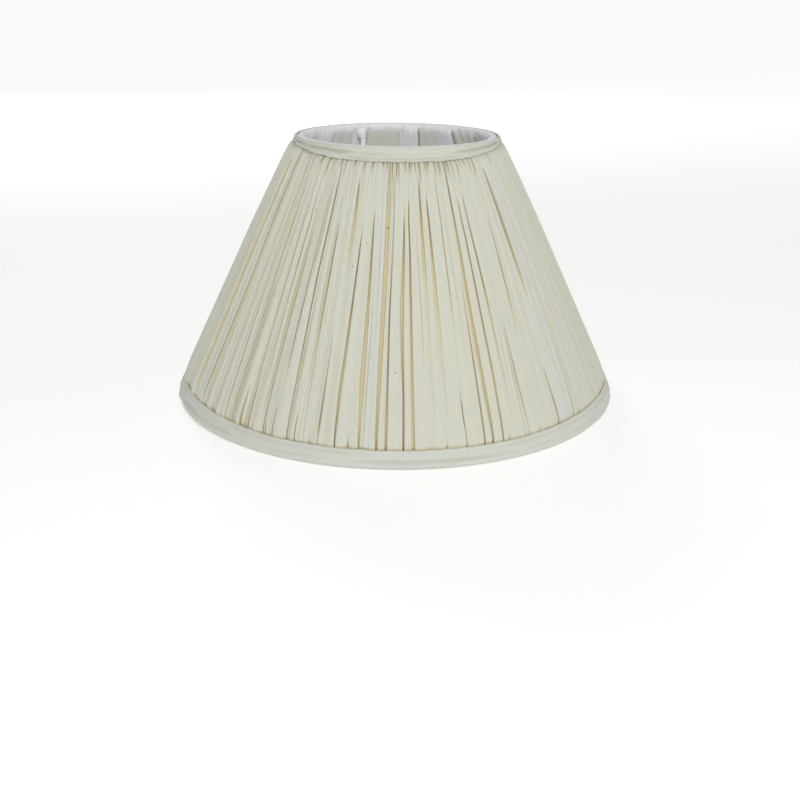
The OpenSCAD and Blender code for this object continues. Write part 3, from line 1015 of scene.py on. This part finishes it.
def base_binding_path(theta, rng):
    edge = base_edge(theta) + ring_noise(rng, theta, range(20, 120, 5), 0.13 * MM, 0.3)
    over = fullness(base_edge(theta), theta)
    low_ripple = ring_noise(rng, theta, range(9, 80, 3), 0.34 * MM, 0.6)
    high_ripple = ring_noise(rng, theta, range(7, 60, 3), 0.34 * MM, 0.6)
    lumps = ring_noise(rng, theta, range(90, 240, 7), 0.06 * MM, 0.0)
    crease = np.clip(0.6 + 0.5 * ring_noise(rng, theta, range(3, 22), 1.0, 0.5), 0, 1.4)
    degrees = np.degrees(theta) % 360
    fold = bell(degrees, *LAP_FOLD)
    lap = (0.7 * bell(degrees, *LAP_RIDGE) - 0.5 * fold) * MM

    def face(z):
        return cone_r(z) + (TAPE_R + 0.05 * MM + over) * SPREAD + FOLD_OUT

    rows = [(BASE_R + out * MM, z * MM, shade) for out, z, shade in TOE]
    for t in np.linspace(0, 1, 20):
        z = TOE_TOP + (edge - 0.35 * MM - TOE_TOP) * t
        roll = sum(size * bell(t, at, width) for size, at, width in BASE_ROLLS) * MM
        dip = 0.70 * MM * bell(t, *BASE_CREASE) * crease
        dip = dip + 0.50 * MM * bell(t, *BASE_HIGH_CREASE) * (1.3 - crease)
        wave = (low_ripple * (1 - t) + high_ripple * t) * math.sin(math.pi * min(1, 0.15 + t * 0.85))
        ease = min(1.0, t * 3.2)
        radius = (BASE_R + TOE_OUT) * (1 - ease) + face(z) * ease + roll - dip + wave + lumps * t + lap
        rows.append((radius, z, dip / (2.2 * MM) + 0.35 * fold))
    rows.append((face(edge) - 0.45 * MM, edge + 0.05 * MM, 0.0))
    rows.append((face(edge) - 1.05 * MM, edge - 0.45 * MM, 0.3))
    return rows


top_trim = build_binding("top_binding", top_binding_path, seed=3, cols=1100)
stand_for(top_trim, "top_trim")
bottom_trim = build_binding("bottom_binding", base_binding_path, seed=5, cols=1500)
stand_for(bottom_trim, "bottom_trim")

# ------------ tapes on the rings

TAPE_AROUND = 14  # points round the wire
TAPE_PER_WRAP = 9  # columns in one turn of the tape


def ring_tape(name, ring_r, ring_z, wraps, seed):
    """Cotton tape wound round a ring: each turn laps over the one before it."""
    rng = np.random.default_rng(seed)
    cols = wraps * TAPE_PER_WRAP
    theta = np.linspace(0, 2 * math.pi, cols, endpoint=False)
    slip = ring_noise(rng, theta, range(5, 40), 0.35, 0.5)
    grid, faces = np.zeros((TAPE_AROUND, cols, 3)), []
    for i in range(TAPE_AROUND):
        angle = 2 * math.pi * i / TAPE_AROUND
        phase = (theta * wraps / (2 * math.pi) + i / TAPE_AROUND + slip) % 1.0
        section = WIRE_R + (0.30 + 0.46 * phase) * MM
        grid[i] = round_grid(ring_r + section * math.cos(angle), ring_z + section * math.sin(angle), theta)
        a = i * cols + np.arange(cols)
        b = (i + 1) % TAPE_AROUND * cols + np.arange(cols)
        faces.append(np.stack([a, np.roll(a, -1), np.roll(b, -1), b], -1))
    faces = np.concatenate(faces)
    obj = add_mesh(name, grid.reshape(-1, 3), faces.tolist(), TAPE_CLOTH)
    loops = faces.reshape(-1)
    u = theta[loops % cols] * ring_r
    closing = (loops % cols == 0) & (np.repeat((faces % cols).max(1), 4) == cols - 1)
    u = np.where(closing, 2 * math.pi * ring_r, u)
    v = (loops // cols) / TAPE_AROUND * 2 * math.pi * TAPE_R
    set_uv(obj.data, np.stack([u, v], -1))
    paint = np.zeros((TAPE_AROUND * cols, 3))
    paint[:, 1] = np.clip(0.3 + np.tile(slip, TAPE_AROUND) * 0.4, 0, 1)
    set_paint(obj.data, paint)
    return obj


base_tape = ring_tape("bottom_tape_wraps", BASE_R, BASE_Z, wraps=170, seed=21)
stand_for(base_tape, "bottom_ring_tape")
top_tape = ring_tape("top_tape_wraps", TOP_R, TOP_Z, wraps=78, seed=22)
stand_for(top_tape, "top_ring_tape")

# ------------ neateners

# An arm's middle line near its root, where it bends down from the top ring, as (height, radius).
ARM_ROOT = ((190.0, 69.3), (197.0, 69.8), (201.0, 70.9), (203.5, 72.9), (205.3, 74.7))
NEATENER_SEED = 40
NEATENER_T = 0.45 * MM
NEATENER_DROP, NEATENER_LENGTH = 8.0 * MM, 10.3 * MM
ARM_COVER = 2.75 * MM  # from an arm's middle line to the face of the strip over it
HUMP = 3.4 * MM


def neatener(index):
    """A strip of lining laid over an arm's shoulder, its sides sewn down at the top ring."""
    low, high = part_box(f"neatener_{index}")
    centre = (low + high) / 2
    rng = np.random.default_rng(NEATENER_SEED + index)
    t = np.linspace(0, 1, 26)[:, None]
    s = np.linspace(-1, 1, 31)[None, :]
    across = s * (3.2 + 5.2 * smooth(0, 0.8, t)) * MM
    z = TOP_Z - NEATENER_DROP + NEATENER_LENGTH * t
    z = z - 1.1 * MM * (1 - t) * (1 - s**2) + 0.25 * MM * np.sin(5 * s + index)
    wall = cone_r(np.minimum(z, TOP_Z)) - (TAPE_R + 1.1 * MM) * SPREAD - 0.9 * MM
    over_arm = between(ARM_ROOT, z / MM) * MM - ARM_COVER
    hump = bell(np.abs(across), 0, HUMP)
    radius = wall * (1 - hump) + np.minimum(over_arm, wall) * hump
    radius = radius + 1.1 * MM * smooth(0.55, 1.0, np.abs(s))
    crease = 0.20 * MM * np.sin(s * 8 + t * 4 + index) * (0.3 + t) + 0.12 * MM * np.sin(s * 19 - t * 6)
    radius = radius - crease - 0.25 * MM * rng.normal(0, 1) * (1 - t) * s
    # the top turns out over the roll
    radius = radius + smooth(0.80, 1.0, t) * (TOP_R - 0.4 * MM - radius)
    z = np.minimum(z, TOP_Z + (TAPE_R + 0.75 * MM))
    theta = math.atan2(centre[1], centre[0]) + across / radius
    grid = round_grid(radius, z, theta)[:, ::-1]
    paint = np.zeros(grid.shape)
    paint[..., 1] = 0.25 * (1 - t)
    name = f"arm_neatener_{index}"
    obj = cloth_mesh(name, grid, NEATENER_T, LINING_CLOTH, along_cloth(grid), paint, wrap=False)
    stand_for(obj, f"neatener_{index}")
    return obj


neateners = [neatener(i) for i in (1, 2, 3)]

# ------------ frame materials

for node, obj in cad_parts.items():
    if node.startswith("fitter"):
        set_material(obj, FITTER_ENAMEL)
    elif node.startswith("strut") or node in ("top_ring", "bottom_ring"):
        set_material(obj, FRAME_ENAMEL)

# ------------ floor and light

WHITE = (1.0, 1.0, 1.0)
WARM_WHITE = (1.0, 0.99, 0.97)
FLOOR_REACH, FLOOR_FLAT, FLOOR_RISE = 7.0, 3.0, 1.5
BACKDROP_REACH, BACKDROP_FOOT, BACKDROP_GLOW = 7.1, 1.2, 0.97
AROUND = 72
SKY_STRENGTH = 0.385
AIM = (0, 0, 0.1)
# The lights, as (name, place, size, power, colour).
LIGHTS = (
    ("key", (0.35, -2.1, 1.5), 0.7, 33.0, WARM_WHITE),
    ("back", (-0.7, 2.3, 1.3), 1.2, 13.0, WHITE),
    ("side", (2.2, 0.3, 1.4), 1.0, 1.5, WARM_WHITE),
)


def ring_points(radius, z):
    turns = [2 * math.pi * j / AROUND for j in range(AROUND)]
    return [(radius * math.cos(a), radius * math.sin(a), z) for a in turns]


def ring_faces(first, rings):
    """Faces between rings of points, the first of them starting at point first."""
    faces = []
    for a in range(first, first + (rings - 1) * AROUND, AROUND):
        b = a + AROUND
        faces += [(a + j, b + j, b + (j + 1) % AROUND, a + (j + 1) % AROUND) for j in range(AROUND)]
    return faces


def stage_floor():
    """A pale floor that curves up into a low wall all round, so no horizon line shows."""
    n = Nodes("floor_paper", roughness=0.9)
    n.colour(n.mix(n.noise(n.position(), 3.0, 2.0), (0.83, 0.83, 0.83), (0.85, 0.85, 0.85)))
    n.shader.inputs["Emission Color"].default_value = (*WHITE, 1.0)
    away = n.new("ShaderNodeVectorMath", operation="LENGTH")
    n.link(n.position(), away.inputs[0])
    glow = n.plus(n.times(n.steps(away.outputs["Value"], 0.5, 3.0), 0.26), 0.30)
    n.link(glow, n.shader.inputs["Emission Strength"])
    rings = 24
    points = [(0.0, 0.0, 0.0)]
    for i in range(1, rings + 1):
        radius = FLOOR_REACH * (i / rings) ** 1.5
        climb = max(0.0, (radius - FLOOR_FLAT) / (FLOOR_REACH - FLOOR_FLAT))
        points += ring_points(radius, FLOOR_RISE * climb**2.2)
    middle = [(0, 1 + j, 1 + (j + 1) % AROUND) for j in range(AROUND)]
    floor = add_mesh("floor", points, middle + ring_faces(1, rings), n.material)
    floor.location.z = -0.0002


def stage_backdrop():
    """A white dome above the floor's rim, seen by the camera only, so that it lights nothing."""
    n = Nodes("backdrop_paper", roughness=0.9)
    n.colour((0.8, 0.8, 0.8))
    n.shader.inputs["Emission Color"].default_value = (*WHITE, 1.0)
    n.shader.inputs["Emission Strength"].default_value = BACKDROP_GLOW
    rings = 12
    points = []
    for i in range(rings):
        tilt = math.radians(88 * i / (rings - 1))
        rise = BACKDROP_FOOT + BACKDROP_REACH * math.sin(tilt)
        points += ring_points(BACKDROP_REACH * math.cos(tilt), rise)
    dome = add_mesh("backdrop", points, ring_faces(0, rings), n.material)
    dome.visible_diffuse = False
    dome.visible_glossy = False
    dome.visible_transmission = False
    dome.visible_shadow = False


def area_light(name, at, size, power, colour):
    data = bpy.data.lights.new(name, "AREA")
    data.shape = "DISK"
    data.size = size
    data.energy = power
    data.color = colour
    obj = bpy.data.objects.new(name, data)
    obj.location = at
    obj.rotation_euler = (Vector(AIM) - Vector(at)).to_track_quat("-Z", "Y").to_euler()
    bpy.context.scene.collection.objects.link(obj)


stage_floor()
stage_backdrop()
for light in LIGHTS:
    area_light(*light)
world = bpy.data.worlds.new("studio")
bpy.context.scene.world = world
world.use_nodes = True
sky = world.node_tree.nodes["Background"]
sky.inputs["Color"].default_value = (*WHITE, 1.0)
sky.inputs["Strength"].default_value = SKY_STRENGTH
bpy.context.scene.view_settings.view_transform = "Standard"
